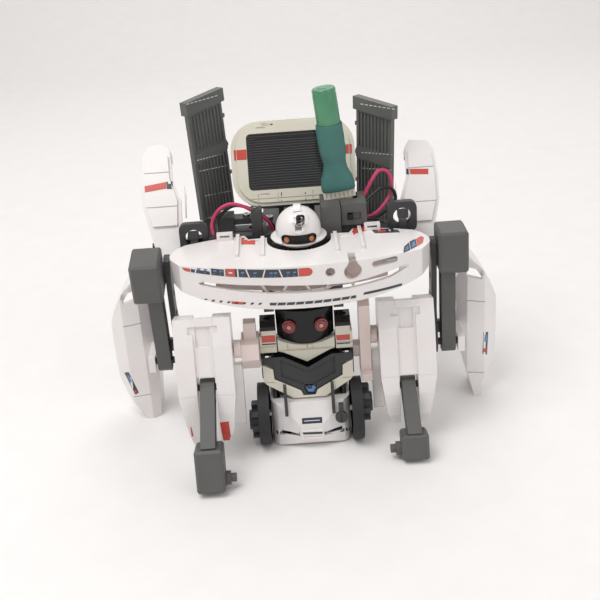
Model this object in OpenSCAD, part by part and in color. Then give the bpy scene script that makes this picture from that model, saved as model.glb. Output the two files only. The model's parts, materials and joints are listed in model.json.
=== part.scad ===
/* [Cab] */
// Width of the nose shell between the wheels
cab_w = 35.4; // [34:0.2:36]
// Width of the armour and the head above the nose
head_w = 41; // [39:0.5:42]
// Height of the nose shell
nose_h = 22; // [20:0.5:24]

/* [Hull] */
// Plan radius of the hull's bowed front face
hull_front_r = 92; // [88:1:100]
// Half the width of the hull
hull_half_w = 56.5; // [55:0.5:56.5]
// Height of the hull's deck above the floor
deck_z = 90; // [89:0.5:91]
// Height of the long slot in the hull's front face
slot_h = 3.6; // [2.5:0.1:3.8]

/* [Drive] */
// Wheel diameter
wheel_d = 28; // [26:0.5:28]

/* [Solar unit and wings] */
// Width of the solar unit
solar_w = 57; // [52:1:58]
// Height of the solar unit along its own face
solar_h = 39; // [36:1:40]
// Backward tilt of the solar unit
solar_tilt = 25; // [15:1:30]
// Width of a wing panel
wing_w = 23; // [21:0.5:23]
// Length of a wing panel
wing_l = 58; // [50:1:58]
// Outward lean of the wings
wing_lean = 3; // [0:0.5:4]
// Turn of the wings about their own length
wing_yaw = 52; // [46:1:54]

/* [Battery] */
// Diameter of the small rechargeable cell
cell_d = 10.5; // [10:0.1:10.5]
// Length of the cell
cell_l = 44.5; // [42:0.5:44.5]

/* [Limbs] */
// Forward lean of the left front leg
leg_lean_left = 15; // [13:1:16]
// Forward lean of the right front leg
leg_lean_right = 15; // [8:1:16]
// Forward lean of the left foot strut
foot_lean_left = 12; // [8:1:16]
// Forward lean of the right foot strut
foot_lean_right = 12; // [8:1:16]
// Width of a front leg shell
leg_w = 24.5; // [23:0.5:25]
// Backward lean of the raised rear arms
arm_lean = 36; // [32:1:40]

/* [Hidden] */
fine = 96;
medium = 48;
bore_play = 0.05;

// Gear train: motor pinion, two-step idler and axle gear
gear_m = 0.5;
axle_teeth = 20;
idler_small_teeth = 12;
idler_large_teeth = 22;
pinion_teeth = 10;

// Drawn with Y = 0 under the middle of the solar unit, then moved so the base centre is the origin
shift_y = 33.104;

// Axle line, idler line and motor line, as [y, z]
axle_at = [-49, wheel_d / 2];
idler_dir = 16;
idler_reach = gear_m * (axle_teeth + idler_small_teeth) / 2;
idler_at = axle_at + idler_reach * [cos(idler_dir), sin(idler_dir)];
motor_dir = -29;
motor_reach = gear_m * (idler_large_teeth + pinion_teeth) / 2;
motor_at = idler_at + motor_reach * [cos(motor_dir), sin(motor_dir)];
axle_r = 1.5;
crank_throw = 2.7;

// Dial on the nose, as [x, z]
dial_at = [13.3, 15.6];

// Outline planes shared by the cab's stacked faces
armor_y = -53;
armor_lean = 20;
head_y = -42;
head_half = head_w / 2;

// Hip pins, as [y, z], and the knee in the leg's own frame
hip_left = [-50.1, 48.1];
hip_right = [-40.8, 46];
hip_in_leg = [1, -12];
knee_in_leg_left = [-3.5, -27];
knee_in_leg_right = [-3, -35];
leg_x = 44;
hip_pin_r = 1.6;
knee_pin_r = 1.5;

// Hull end pivots of the rear links, their lower pivots, and the arms' pivots, as [y, z]
link_top = [-31, 82];
link_low = [-33, 36];
shell_y = -23;
arm_left = [-13.6, 84];
arm_right = [-13.4, 78];
arm_left_x = 59;
arm_right_x = 54.6;

// Solar unit's tilt axis and face centre, as [y, z]
solar_pivot = [17, 103.4];
solar_at = [9, 112];

// Head swivel axis
head_at = [0, -31];
head_base_z = 86.5;

// Battery axis foot and lean
battery_foot = [19.5, -11, 101.2];
battery_lean = 5.5;
cell_foot = 5;

// Wing feet
wing_foot_left = [-37.5, 15.5, 87];
wing_foot_right = [37, 15.5, 79];

// Wire routes by hand, end to end
wire_d = 1.6;
route_red_left = [[-38, -17, 88.6], [-38.4, -14, 93], [-35.4, -12.6, 98.4], [-30.4, -12, 101],
    [-25, -12, 100.2], [-20, -12.4, 97.4], [-15.4, -12, 94], [-12.4, -11.4, 90], [-11.4, -11, 85.6]];
route_black_left = [[-35.6, -17, 88.6], [-36, -12.6, 92.6], [-33, -11, 97], [-28.4, -9.8, 99.4],
    [-23.4, -9.6, 98.6], [-18.4, -9.2, 95.6], [-14, -8.8, 92], [-11.4, -8.4, 88.6], [-10.4, -8, 85.6]];
route_red_right = [[30, -10, 99], [34, -8.4, 106], [37.6, -6.6, 110], [41.4, -6, 109.4],
    [43.4, -6.6, 104.6], [42, -8.6, 98.6], [37.6, -12, 94], [33.6, -15, 92.4], [30, -16.6, 92.4]];
route_black_right = [[30, -13, 97.4], [34, -11.4, 100.4], [38.6, -10, 103], [43, -9.8, 102.4],
    [44.6, -10.4, 98], [42, -11.6, 94.2], [37.6, -14.6, 92.2], [33.6, -17.6, 92], [30, -19.4, 92.4]];

// ---------- helpers ----------
module plan(z0, z1) { translate([0, 0, z0]) linear_extrude(z1 - z0) children(); }

module front(y0, y1) { translate([0, y1, 0]) rotate([90, 0, 0]) linear_extrude(y1 - y0) children(); }

module side(x0, x1) { translate([x0, 0, 0]) rotate([90, 0, 90]) linear_extrude(x1 - x0) children(); }

module across(x0, x1, at, r) {
    translate([x0, at[0], at[1]]) rotate([0, 90, 0]) cylinder(h = x1 - x0, r = r, $fn = medium);
}

module box(x, y, z) { translate([x[0], y[0], z[0]]) cube([x[1] - x[0], y[1] - y[0], z[1] - z[0]]); }

module on_side(s) { if (s < 0) mirror([1, 0, 0]) children(); else children(); }

module place() { translate([0, shift_y, 0]) children(); }

module round_rect(w, h, r) { offset(r) square([w - 2 * r, h - 2 * r], center = true); }

function arc(cx, cy, r, a0, a1, n) =
    [for (i = [0:n]) let (a = a0 + (a1 - a0) * i / n) [cx + r * cos(a), cy + r * sin(a)]];

function mirrored(pts) = [for (i = [len(pts) - 1:-1:0]) [-pts[i][0], pts[i][1]]];

// Straight-flanked spur gear outline with a tooth centred on angle aim
function gear_points(teeth, aim) = let (
        pitch = gear_m * teeth / 2, tip = pitch + 0.8 * gear_m, root = pitch - 1.1 * gear_m,
        half = 90 / teeth)
    [for (i = [0:teeth - 1]) let (a = aim + 360 * i / teeth)
        for (p = [[root, -1.25 * half], [tip, -0.38 * half], [tip, 0.38 * half], [root, 1.25 * half]])
            [p[0] * cos(a + p[1]), p[0] * sin(a + p[1])]];

module gear(teeth, aim, at, x0, x1) {
    side(x0, x1) translate(at) polygon(gear_points(teeth, aim));
}

// ---------- cab ----------
module nose_profile(inset) {
    offset(delta = -inset) polygon([[-55, 0.6], [-58.3, 3], [-58.3, 12], [-54.5, nose_h], [-24, nose_h], [-24, 0.6]]);
}

module nose_plan(inset) {
    half = cab_w / 2 - inset;
    polygon(concat([[-half, -24 - inset], [-half, -49]], arc(-half + 7, -49, 7, 180, 235, 6),
        [[-4, -58.6 + inset], [4, -58.6 + inset]], arc(half - 7, -49, 7, 305, 360, 6), [[half, -24 - inset]]));
}

module nose_block(inset) {
    intersection() {
        side(-cab_w, cab_w) nose_profile(inset);
        plan(-1, nose_h + 1) nose_plan(inset);
    }
}

module nose_shell() {
    // number plate under the emblem
    color("ivory") place() difference() {
        box([-5, 5], [-59.6, -58.3], [5.2, 9.6]);
        box([-4, 4], [-59.7, -59.3], [6.6, 6.9]);
    }
    // boss that the dial turns on
    color("white") place() front(-58.3, -54.6) translate(dial_at) circle(r = 1.8, $fn = medium);
    color("white") place() difference() {
        nose_block(0);
        nose_block(1.4);
        // open top behind the armour, and the open back
        box([-16.3, 16.3], [-50, -20], [nose_h - 2, nose_h + 2]);
        box([-16.3, 16.3], [-26, -20], [2, nose_h + 2]);
        // bumper slots each side of the number plate
        for (s = [-1, 1]) on_side(s) front(-62, -54.6) polygon([[5.5, 6.4], [16.5, 6.6], [17.6, 7.6], [16.5, 8.6],
            [10, 8.2], [5.5, 7.4]]);
        // room for the turning axle
        across(-30, 30, axle_at, axle_r + 0.5);
        // fine seams on the front
        for (z = [[3, 5.6], [15, 23]]) front(-62, -58.5) polygon([[-0.25, z[0]], [0.25, z[0]], [0.25, z[1]], [-0.25, z[1]]]);
    }
}

module leaning_front(y, z, lean, thick) {
    translate([0, y, z]) rotate([-lean, 0, 0]) front(0, thick) translate([0, -z]) children();
}

armor_half = [[0, 23], [7, 23], [10.5, 25], [18.4, 29.6], [19.8, 31], [20, 38.6], [15.4, 36.4], [15.1, 32],
    [3.6, 26.2], [2.7, 24], [0, 24]];

module armor_plate() {
    color("ivory") place() difference() {
        leaning_front(armor_y, 22, armor_lean, 2.4) union() {
            polygon(armor_half);
            mirror([1, 0]) polygon(armor_half);
        }
        // panel lines
        for (s = [-1, 1]) on_side(s) leaning_front(armor_y - 0.3, 22, armor_lean, 0.7) {
            translate([15.1, 30.6]) square([4.6, 0.35]);
            translate([11.3, 25.2]) square([0.35, 4.6]);
        }
    }
}

module v_panel() {
    half = [[0, 24.3], [2.5, 24.3], [3.3, 26.6], [14.8, 32.4], [15.1, 36.8], [20, 39], [20, 41.6],
        [10.6, 41.6], [0, 36.2]];
    color("dimgray") place() difference() {
        leaning_front(armor_y, 22, armor_lean, 2.2) union() {
            polygon(half);
            mirror([1, 0]) polygon(half);
        }
        // sunken V between two raised lips
        leaning_front(armor_y - 0.3, 22, armor_lean, 1.2) polygon([[-12, 40.4], [0, 34.6], [12, 40.4],
            [12, 33.2], [0, 27.6], [-12, 33.2]]);
    }
}

module chin_plate() {
    color("gainsboro") place() difference() {
        union() {
            front(head_y - 1.6, head_y + 1.2) polygon(concat([[-12.6, 48]], arc(0, 70.5, 26, 243, 297, 9),
                [[12.6, 48], [12.6, 41.9], [-12.6, 41.9]]));
            front(head_y - 2.4, head_y + 1.2) polygon([[-12.2, 42.3], [12.2, 42.3], [10.4, 41.8], [0, 36.4], [-10.4, 41.8]]);
        }
        for (x = [-8.4, 0.3, 2.5]) front(head_y - 3, head_y - 1.2) translate([x, 42.6]) square([0.3, 6]);
    }
}

module visor() {
    color("black") place() intersection() {
        translate([0, -22, 0]) difference() {
            plan(43.8, 60.5) circle(r = 20.8, $fn = fine);
            plan(43, 61) circle(r = 18.6, $fn = fine);
        }
        front(-46, -34) polygon(concat([[-12.8, 60.4], [-12.6, 47.4]], arc(0, 71.6, 27, 243, 297, 10),
            [[12.6, 47.4], [12.8, 60.4]]));
    }
}

module eye_lens(x) {
    translate([x, -41.9, 53.2]) rotate([90, 0, x * 2.4]) {
        cylinder(h = 1, r = 3, $fn = medium);
        cylinder(h = 1.4, r = 1.5, $fn = medium);
    }
}

module eye_lenses() { color("crimson") place() { eye_lens(-6.9); eye_lens(6.9); } }

module shoulder_columns() {
    color("ivory") place() for (s = [-1, 1]) on_side(s) difference() {
        box([13.1, head_half], [head_y - 2, head_y + 6], [41.8, 52.6]);
        box([13, head_half + 1], [head_y - 2.2, head_y - 1.75], [44.6, 45]);
        box([head_half - 1, head_half + 1], [head_y - 3, head_y + 8], [50, 53]);
    }
}

module shoulder_caps() {
    color("black") place() for (s = [-1, 1]) on_side(s) difference() {
        side(13.1, head_half - 0.6) polygon([[head_y - 2, 52.6], [head_y - 2, 54.4], [head_y, 56.8], [head_y + 6, 56.8],
            [head_y + 6, 52.6]]);
        translate([16.6, head_y + 2, 56.2]) cylinder(h = 2, r = 1.7, $fn = medium);
    }
}

module nose_bars() {
    color("dimgray") place() for (s = [-1, 1]) on_side(s)
        side(s < 0 ? 10 : 9.4, s < 0 ? 11.4 : 10.8) polygon([[-55.4, 21.4], [-58.2, 17], [-59, 17.6], [-56.2, 23],
            [-55.2, 30], [-54, 31], [-53.8, 30]]);
}

module nose_dial() {
    color("dimgray") place() translate([dial_at[0], -58.4, dial_at[1]]) rotate([90, 0, 0]) difference() {
        union() {
            cylinder(h = 1.4, r = 2.7, $fn = medium);
            translate([-1.1, 0, 0]) cube([2.2, 7, 1]);
        }
        translate([-0.3, -2, 1]) cube([0.6, 4, 1]);
    }
}

module gearbox_plate_outline() {
    polygon([[-50.4, 2.6], [-28, 2.6], [-28, 41.6], [-36, 41.6], [-41.4, 37], [-44.6, 30], [-50.4, 19]]);
}

module gearbox_frame() {
    color("dimgray") place() difference() {
        union() {
            for (s = [-1, 1]) on_side(s) side(14.6, 15.9) gearbox_plate_outline();
            // shelf under the head and the web behind the gears
            box([-14.6, 14.6], [-38, -28], [39.4, 41.6]);
            box([-14.6, 14.6], [-29.4, -28], [22, 39.4]);
            // outer cheeks that reach up past the wheels
            for (s = [-1, 1]) on_side(s) {
                side(19.2, 20.6) polygon([[-43, 28.6], [-36, 28.6], [-28, 34], [-28, 41.6], [-40, 41.6], [-43, 38]]);
                box([15.9, 19.2], [-34, -30], [35, 41]);
            }
        }
        across(-20, 20, axle_at, axle_r + bore_play);
        across(-20, 20, idler_at, 1 + bore_play);
    }
}

module rear_cover() {
    color("white") place() difference() {
        side(-cab_w / 2, cab_w / 2) polygon([[-27.6, 22.2], [-23.8, 22.2], [-23.8, 2], [-21, 3], [-18, 14], [-19, 34],
            [-24, 41], [-27.6, 41]]);
        for (z = [8, 12, 16]) box([-10, 10], [-20, -10], [z, z + 1.2]);
    }
}

module motor() {
    color("silver") place() difference() {
        union() {
            intersection() {
                across(-13.5, 6.5, motor_at, 10);
                box([-14, 7], [motor_at[0] - 12, motor_at[0] + 12], [motor_at[1] - 7.5, motor_at[1] + 7.5]);
            }
            across(6.5, 7.8, motor_at, 3);
        }
        across(-20, 8, motor_at, 1 + bore_play);
    }
}

module motor_pinion() {
    color("goldenrod") place() {
        across(-13, 9, motor_at, 1);
        gear(pinion_teeth, motor_dir + 180 + 180 / pinion_teeth, motor_at, 8.6, 10.8);
    }
}

module idler_gear() {
    color("white") place() {
        gear(idler_large_teeth, motor_dir, idler_at, 8.8, 10.6);
        gear(idler_small_teeth, idler_dir + 180 + 180 / idler_small_teeth, idler_at, 10.6, 13.2);
        across(8.2, 15.8, idler_at, 1);
    }
}

module axle_gear() {
    color("gold") place() difference() {
        gear(axle_teeth, idler_dir, axle_at, 11, 13);
        across(10, 14, axle_at, axle_r);
    }
}

module axle() { color("silver") place() across(-27, 27, axle_at, axle_r); }

module wheel(s) {
    color("black") place() on_side(s) difference() {
        union() {
            across(18.2, 23.2, axle_at, wheel_d / 2);
        }
        across(21.8, 24, axle_at, wheel_d / 2 - 2.4);
        across(17, 19, axle_at, wheel_d / 2 - 3);
        across(17, 25, axle_at, axle_r);
    }
}

module wheel_left() wheel(-1);
module wheel_right() wheel(1);

// Lobed crank, set off the axle so the two sides run half a turn apart
module crank(s) {
    color("dimgray") place() on_side(s) difference() {
        union() {
            side(23.2, 26.4) translate(axle_at + [0, s * crank_throw]) {
                circle(r = 6.4, $fn = medium);
                for (i = [0:7]) rotate(i * 45) translate([4.6, -1.3]) square([3.8, 2.6]);
            }
            across(21.8, 27.6, axle_at + [0, s * crank_throw], 4.4);
        }
        across(20, 28, axle_at, axle_r);
    }
}

module crank_left() crank(-1);
module crank_right() crank(1);

module neck_post() {
    color("dimgray") place() difference() {
        union() {
            box([-11, 11], [-34, -21.5], [41.6, 72]);
            for (s = [-1, 1]) on_side(s) {
                side(11, 17.5) polygon([[-33, 58.4], [-24, 58.4], [-22, 70.6], [-33, 70.6]]);
                side(13.2, 17.5) polygon([[-40, 60], [-33, 58.4], [-33, 70.6], [-41, 70.6]]);
            }
        }
        box([-8, 8], [-30, -20], [50, 68]);
    }
}

// ---------- hull ----------
function rounded(w, h, r, n) = concat(arc(w / 2 - r, h / 2 - r, r, 0, 90, n), arc(-w / 2 + r, h / 2 - r, r, 90, 180, n),
    arc(-w / 2 + r, -h / 2 + r, r, 180, 270, n), arc(w / 2 - r, -h / 2 + r, r, 270, 360, n));

module hull_plan(inset) {
    end = 12 - inset;
    ex = hull_half_w - 12;
    polygon(concat(arc(-ex, -34, end, 120, 216, 8), arc(0, hull_front_r - 62, hull_front_r - inset, 236, 304, 28),
        arc(ex, -34, end, 324, 420, 8),
        [[ex - 6, -22 - inset], [24 + inset, -22 - inset], [22 + inset, -27 - inset], [14 + inset, -27 - inset]],
        arc(0, -31, 14 + inset, 0, -180, 20),
        [[-14 - inset, -27 - inset], [-22 - inset, -27 - inset], [-24 - inset, -22 - inset], [-ex + 6, -22 - inset]]));
}

hull_belly_z = 71;

// Front view of the hull: a gently domed deck over a belly that rises to the ends
module hull_outline(inset) {
    top = deck_z - inset;
    w = hull_half_w + 1;
    polygon(concat(arc(0, top - 500, 500, 90 - 6.6, 90 + 6.6, 16), [[-w, top - 6]],
        [for (i = [-12:12]) [i * w / 12, hull_belly_z + inset + 6 * pow(abs(i) / 12, 3)]], [[w, top - 6]]));
}

module hull_block(inset) {
    intersection() {
        plan(70, 93) hull_plan(inset);
        front(-64, -15) hull_outline(inset);
    }
}

module hull_shell() {
    color("white") place() difference() {
        union() {
            hull_block(0);
            // raised ribs and tabs on the deck
            for (s = [-1, 1]) on_side(s) {
                box([15, 16.6], [-48, -27.2], [deck_z - 2, deck_z + 0.8]);
                box([26, 27.6], [-46, -22.2], [deck_z - 2, deck_z + 0.6]);
                box([29, 36], [-25.4, -22.2], [deck_z - 2, deck_z + 2]);
                across(hull_half_w - 2, 59.2, link_top, hip_pin_r);
            }
        }
        hull_block(2);
        // open underside
        plan(70, 77) hull_plan(3.4);
        // long slot
        front(-66, -50) translate([1.5, 0]) polygon([[-45, 80.8], [-43, 81.8], [-16, 82], [-2, 77.8 + slot_h], [18, 80.2],
            [28, 81], [36, 81.9], [44.6, 83.2], [45, 82], [36, 78.9], [28, 78.2], [18, 77.5], [0, 77.8],
            [-16, 78.1], [-35, 79.3], [-44, 80]]);
        // round hole, drop-shaped hole and oval slot
        front(-66, -50) translate([11.8, 86]) circle(r = 2, $fn = medium);
        front(-66, -50) translate([21.2, 84.9]) union() {
            circle(r = 3.7, $fn = medium);
            polygon([[-2.6, 2.4], [2.6, 2.4], [0.5, 6.6], [-0.5, 6.6]]);
        }
        front(-66, -50) translate([34.9, 86.4]) polygon(rounded(11, 2.8, 1.3, 6));
        // windows in the deck tabs
        for (s = [-1, 1]) on_side(s) {
            box([30.4, 34.6], [-26, -21], [deck_z + 0.4, deck_z + 1.3]);
            box([17.6, 25], [-34, -28.5], [deck_z - 1.2, deck_z + 1]);
        }
    }
}

// Curved strip that follows the hull's front, between two radii
module bow(r0, r1, spread) {
    polygon(concat(arc(0, hull_front_r - 62, r1, 270 - spread, 270 + spread, 24),
        arc(0, hull_front_r - 62, r0, 270 + spread, 270 - spread, 24)));
}

// Wall set back behind the slot, stiffened by a row of slanting webs
module hull_ribs() {
    color("mistyrose") place() {
        intersection() {
            plan(77, 82.6) bow(hull_front_r - 8.1, hull_front_r - 2.4, 26);
            front(-62, -40) for (i = [-2:2]) translate([i * 9 + 2, 79.8]) rotate(i % 2 == 0 ? 32 : -32)
                square([1, 5.4], center = true);
        }
        plan(76, 86.2) bow(hull_front_r - 9.2, hull_front_r - 8, 26);
    }
}

// Upright lug that guides the wires, part of the deck frame
module cable_lug() {
    difference() {
        side(-20.4, -15.6) polygon([[-21.4, 89], [-16.4, 89], [-13, 94], [-13.4, 98.6], [-16, 101], [-20, 100.6], [-21.4, 96]]);
        side(-21, -15) polygon([[-19.6, 93.6], [-15.4, 94.2], [-17, 97.8]]);
        box([-19, -17], [-22, -12], [99.6, 102]);
    }
}

module deck_frame() {
    color("dimgray") place() cable_lug();
    color("dimgray") place() difference() {
        union() {
            box([-12, 12], [-26, -16], [72, 86]);
            box([-40, 40], [-21.4, -16.4], [83, 89]);
            box([-16, 16], [-16.4, 22], [82, 86]);
            box([-43, 43], [11.5, 19.5], [75.5, 79]);
            box([-12, 12], [11.5, 19.5], [79, 82]);
            box([-44.5, -30], [11, 20], [79, 86.4]);
            box([-30, -16], [12, 19], [82, 85]);
            // pivot post for the head
            translate([head_at[0], head_at[1], 78]) cylinder(h = 8, r = 5.4, $fn = medium);
            translate([head_at[0], head_at[1], 84]) cylinder(h = 8, r = 2.6, $fn = medium);
            box([-5, 5], [-30, -25], [78, 84]);
            // lower arms that hold the raised rear arms
            for (s = [-1, 1]) on_side(s) {
                at = s < 0 ? arm_left : arm_right;
                reach = s < 0 ? arm_left_x : arm_right_x;
                box([36, reach - 9], [-16.4, -11.5], [at[1] - 4, at[1] + 3.5]);
                across(reach - 10, reach + 7, at, hip_pin_r);
            }
        }
        for (p = [wing_foot_left, wing_foot_right]) translate([p[0], p[1], p[2] - 8.2])
            cylinder(h = 30, r = 1.6 + bore_play, $fn = medium);
        // bolt holes on the underside of the rear bar
        for (x = [-22, 22]) translate([x, 15.5, 70]) cylinder(h = 12, r = 1.6, $fn = medium);
    }
}

module end_clip(s) {
    z = s < 0 ? 81.6 : 85.2;
    color("dimgray") place() on_side(s) difference() {
        union() {
            front(-19.8, -16.6) difference() {
                translate([46.5, z + 7.1]) polygon(rounded(12.8, 14.2, 3, 4));
                translate([46.4, z + 7.4]) circle(r = 4, $fn = medium);
            }
            front(-20.6, -16.6) translate([45, z + 0.4]) square([3.4, 5]);
            box([44.4, 49], [-20.8, -17], [z + 7, z + 10]);
        }
        box([43.9, 45], [-19, -17.4], [z + 7, z + 9]);
    }
}

module end_clip_left() end_clip(-1);
module end_clip_right() end_clip(1);

// ---------- head ----------
module helmet() {
    color("white") place() translate([head_at[0], head_at[1], head_base_z]) difference() {
        union() {
            translate([0, 0, 8.4]) intersection() {
                sphere(r = 9.8, $fn = fine);
                translate([-12, -12, -6.6]) cube([24, 24, 20]);
            }
            // flared brim
            rotate_extrude($fn = fine) polygon([[7, 2.6], [11.6, 4.4], [12.2, 5.2], [10.4, 5.8], [7, 6.2]]);
            // collar round the lamp port, and the crest
            translate([0, -7, 11.8]) rotate([78, 0, 0]) cylinder(h = 3.4, r = 2.9, $fn = medium);
            side(-1.6, 1.6) polygon(arc(0, 8.4, 10.6, 35, 118, 12));
        }
        translate([0, 0, 6]) sphere(r = 7.6, $fn = medium);
        translate([0, 0, -1]) cylinder(h = 8, r = 6.2, $fn = medium);
        box([-1.4, 1.4], [-12, -7], [10.9, 13.7]);
        // face opening
        front(-14, -3.4) translate([0, 6.4]) polygon(rounded(15, 4.6, 2.2, 6));
    }
}

module helmet_visor() {
    color("black") place() translate([head_at[0], head_at[1], head_base_z]) intersection() {
        translate([0, 0, 6.2]) difference() {
            cylinder(h = 4.4, r = 8.9, center = true, $fn = fine);
            cylinder(h = 6, r = 7.7, center = true, $fn = fine);
        }
        front(-9.4, -4.2) translate([0, 6.4]) polygon(rounded(14.8, 4.4, 2.1, 6));
    }
}

module helmet_eyes() {
    color("darkorange") place() for (s = [-1, 1]) on_side(s)
        translate([head_at[0] + 5, head_at[1] - 7.5, head_base_z + 6.2]) rotate([90, 0, 34])
            cylinder(h = 0.9, r = 1.15, $fn = medium);
}

// ---------- solar unit ----------
module tilted() {
    translate([0, solar_at[0], solar_at[1]]) rotate([-solar_tilt, 0, 0]) rotate([90, 0, 0]) children();
}

module solar_mount() {
    color("dimgray") place() difference() {
        for (s = [-1, 1]) on_side(s) side(6, 8.4)
            polygon([[9, 86], [21, 86], [20.4, 104], [18, 107], [15, 106.4], [13, 100]]);
        across(-20, 20, solar_pivot, knee_pin_r + bore_play);
    }
}

module solar_back() {
    color("dimgray") place() difference() {
        union() {
            tilted() translate([0, 0, -7]) linear_extrude(5.6) polygon(rounded(solar_w - 1, solar_h + 1, 14, 8));
            for (s = [-1, 1]) on_side(s) side(3, 5.6) polygon([[8.8, 96.4], [16, 100], [19.6, 101.4], [20, 105], [15.4, 109.6], [12, 106]]);
            across(-8.4, 8.4, solar_pivot, knee_pin_r);
        }
        tilted() translate([0, 0, -4.4]) linear_extrude(4) polygon(rounded(solar_w - 8, solar_h - 6, 10, 8));
    }
}

module solar_bezel() {
    color("ivory") place() tilted() difference() {
        union() {
            translate([0, 0, -1.4]) linear_extrude(2.6) polygon(rounded(solar_w, solar_h, 13, 8));
            translate([0, 0, 1.2]) linear_extrude(0.9) polygon(rounded(solar_w - 5, solar_h - 3, 11, 8));
        }
        translate([0, 0.8, -2]) linear_extrude(6) polygon(rounded(42, 26, 2, 5));
        // panel lines and vents
        for (s = [-1, 1]) for (x = [8, 17]) translate([s * x - 0.15, -solar_h / 2, 1.8]) cube([0.3, 5.6, 1]);
        for (y = [-14.6, 16]) for (s = [-1, 1]) translate([s * 14 - 2, y, 1.7]) cube([4, 0.7, 1]);
        translate([-solar_w / 2, -16.4, 1.8]) cube([solar_w, 0.3, 1]);
    }
}

module solar_cell() {
    color("black") place() tilted() translate([0, 0.8, -0.9]) difference() {
        linear_extrude(2.6) polygon(rounded(41.8, 25.8, 1.9, 5));
        translate([0, 0, 2.2]) linear_extrude(1) polygon(rounded(37, 21.4, 2.4, 5));
    }
}

// ---------- wings ----------
module wing(s, foot) {
    color("dimgray") place() translate(foot) rotate([0, 0, -s * wing_yaw]) rotate([0, s * wing_lean, 0]) {
        difference() {
            union() {
                front(-1, 1.2) {
                    translate([-wing_w / 2, 1]) square([wing_w, wing_l - 1]);
                    // side nubs
                    for (z = [0.28, 0.52, 0.76]) translate([s * -(wing_w / 2 + 0.5) - 0.5, z * wing_l]) square([1.2, 1.8]);
                }
                // broad bars across the top and the middle
                box([-wing_w / 2 - 1.3, wing_w / 2 + 1.3], [-2, 1.8], [wing_l - 6, wing_l]);
                box([-wing_w / 2, wing_w / 2], [-1.5, 1.2], [0.5 * wing_l, 0.5 * wing_l + 4.4]);
            }
            // grooves that leave the upright ribs
            for (i = [0:8]) for (z = [[2, 0.5 * wing_l - 1], [0.5 * wing_l + 5.4, wing_l - 7]])
                box([-wing_w / 2 + 1.7 + i * 2.3, -wing_w / 2 + 3.1 + i * 2.3], [-1.3, -0.5], z);
        }
    }
    color("dimgray") place() translate(foot - [0, 0, 7.5]) cylinder(h = 8, r = 1.6, $fn = medium);
}

module wing_left() wing(-1, wing_foot_left);
module wing_right() wing(1, wing_foot_right);

// ---------- battery ----------
module battery_socket() {
    color("dimgray") place() difference() {
        union() {
            box([10.6, 19], [-24, -6], [89, 100.8]);
            box([10.6, 19], [-24, -21.5], [86, 89]);
            box([19.4, 30.6], [-21.9, -6], [91, 100.8]);
            box([19, 19.4], [-21, -8], [91, 99]);
        }
        box([12, 27.2], [-14.4, -7.6], [94.2, 102]);
        box([22, 28], [-23, -21], [93.4, 96.8]);
    }
}

module switch_slider() { color("black") place() box([22.4, 24.4], [-23, -21.1], [93.8, 96.4]); }

module battery_axis() { translate(battery_foot) rotate([0, -battery_lean, 0]) children(); }

module battery_plug() {
    color("whitesmoke") place() difference() {
        union() {
            battery_axis() translate([-7.2, -3.4, 0]) cube([14.4, 6.8, 3.2]);
            battery_axis() translate([-5.6, -2.6, -5.4]) cube([11.2, 5.2, 5.4]);
        }
        for (i = [-3:3]) battery_axis() translate([i * 1.9 - 0.35, -4, 0.4]) cube([0.7, 1.1, 2.2]);
    }
}

module battery_sleeve() {
    color("teal") place() battery_axis() difference() {
        union() {
            hull() {
                translate([0, 0, 3.2]) linear_extrude(5) polygon(rounded(15, 8.6, 3.4, 5));
                translate([0, 0, 14]) cylinder(h = 1, r = 6, $fn = 32);
            }
            translate([0, 0, 14]) cylinder(h = 19.5, r = 6, $fn = medium);
        }
        translate([0, 0, cell_foot]) cylinder(h = 40, r = cell_d / 2, $fn = medium);
    }
}

module battery_cell() {
    color("seagreen") place() battery_axis() translate([0, 0, cell_foot]) {
        cylinder(h = cell_l - 0.6, r = cell_d / 2, $fn = medium);
        translate([0, 0, cell_l - 0.6]) cylinder(h = 0.6, r = cell_d / 2 - 1, $fn = medium);
    }
}

// ---------- front legs ----------
function turned(p, lean) = [p[0] * cos(lean) + p[1] * sin(lean), p[1] * cos(lean) - p[0] * sin(lean)];

knee_left = hip_left + turned(knee_in_leg_left - hip_in_leg, leg_lean_left);
knee_right = hip_right + turned(knee_in_leg_right - hip_in_leg, leg_lean_right);

module leg_frame(s) {
    at = s < 0 ? hip_left : hip_right;
    on_side(s) translate([leg_x, at[0], at[1]]) rotate([s < 0 ? -leg_lean_left : -leg_lean_right, 0, 0])
        translate([0, -hip_in_leg[0], -hip_in_leg[1]]) children();
}

module leg_profile() {
    polygon([[-7.6, 4], [2.6, 4], [4.6, -4], [4.8, -16], [3.6, -30], [1.4, -42], [-1.6, -50], [-4.6, -52],
        [-6.6, -48], [-8.2, -38], [-9.2, -22], [-9.2, -8]]);
}

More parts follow.
